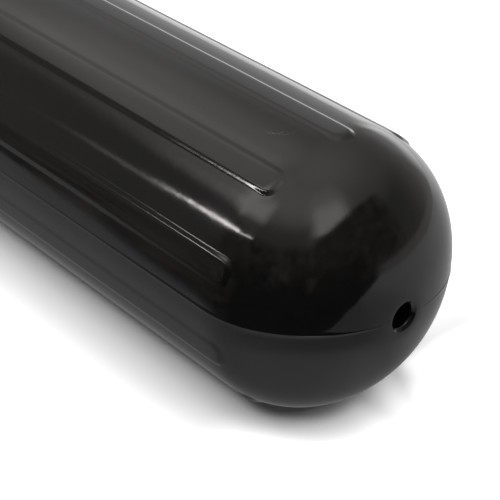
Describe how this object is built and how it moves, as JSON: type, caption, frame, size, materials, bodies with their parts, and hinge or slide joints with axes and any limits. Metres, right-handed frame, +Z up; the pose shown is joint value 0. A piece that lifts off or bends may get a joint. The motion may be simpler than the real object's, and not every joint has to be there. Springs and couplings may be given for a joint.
{
  "type": "boat fender",
  "caption": "Ribbed black vinyl boat fender: an inflated tube with domed ends, a rope hole right through its axis and a needle valve in one dome.",
  "frame": {"origin": "under the middle of the fender, on the surface that its lowest rib lies on", "axes": "+X along the rope hole towards the end without the valve, +Y level across the fender, +Z up; the parting line of the mould lies level"},
  "size_m": [0.52, 0.217, 0.2182],
  "materials": {
    "black_vinyl": "moulded vinyl, semi-gloss",
    "valve_rubber": "plain rubber, satin"
  },
  "bodies": {
    "root": {"fender_shell": "black_vinyl", "valve_plug": "valve_rubber"}
  },
  "joints": []
}
